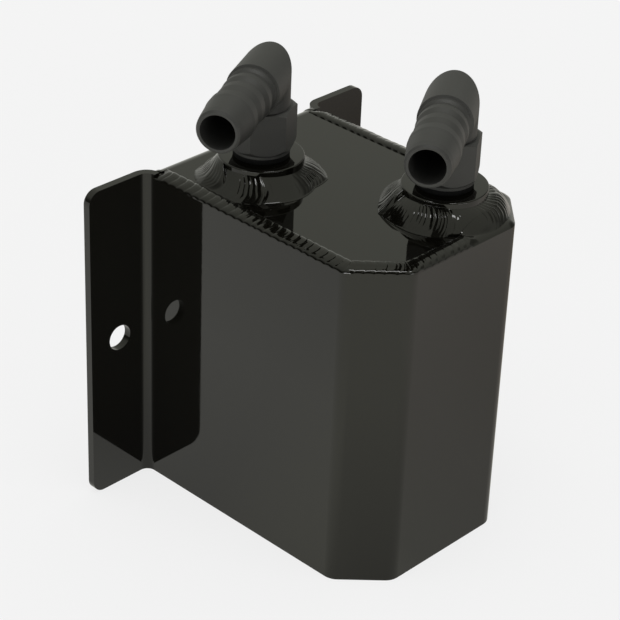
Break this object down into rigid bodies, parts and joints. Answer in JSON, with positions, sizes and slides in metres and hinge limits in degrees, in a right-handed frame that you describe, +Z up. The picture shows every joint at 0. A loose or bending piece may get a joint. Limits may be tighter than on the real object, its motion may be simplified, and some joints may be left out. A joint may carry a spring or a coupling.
{
  "type": "oil catch can",
  "caption": "Welded sheet-metal oil catch can with two bolt-up ears and two moulded elbows on its top whose barbed tails take push-on hose.",
  "frame": {"origin": "halfway between the centres of the two ear holes, on the mounting plane that the ears' rear faces lie in", "axes": "+X to the right across the tank's front as seen from the front, +Y backwards out of the mounting plane, +Z up"},
  "size_m": [0.1404, 0.123, 0.1758],
  "materials": {
    "powder_coat": "gloss black powder coat over aluminium",
    "moulded": "satin",
    "seal_rubber": "matt",
    "raw_aluminium": "mill finish",
    "plug_brass": "turned"
  },
  "bodies": {
    "root": {"shell_wrap": "powder_coat", "top_and_back": "powder_coat", "bottom_plate": "powder_coat", "baffle_plate": "raw_aluminium", "baffle_welds": "raw_aluminium", "boss_left": "powder_coat", "boss_right": "powder_coat", "boss_weld_left": "powder_coat", "boss_weld_right": "powder_coat", "edge_weld": "powder_coat", "seam_weld_left": "powder_coat", "seam_weld_right": "powder_coat", "bottom_weld": "powder_coat", "elbow_left": "moulded", "elbow_right": "moulded", "seal_left": "seal_rubber", "seal_right": "seal_rubber", "drain_bung": "raw_aluminium", "bung_weld": "raw_aluminium", "drain_plug": "plug_brass"}
  },
  "joints": []
}
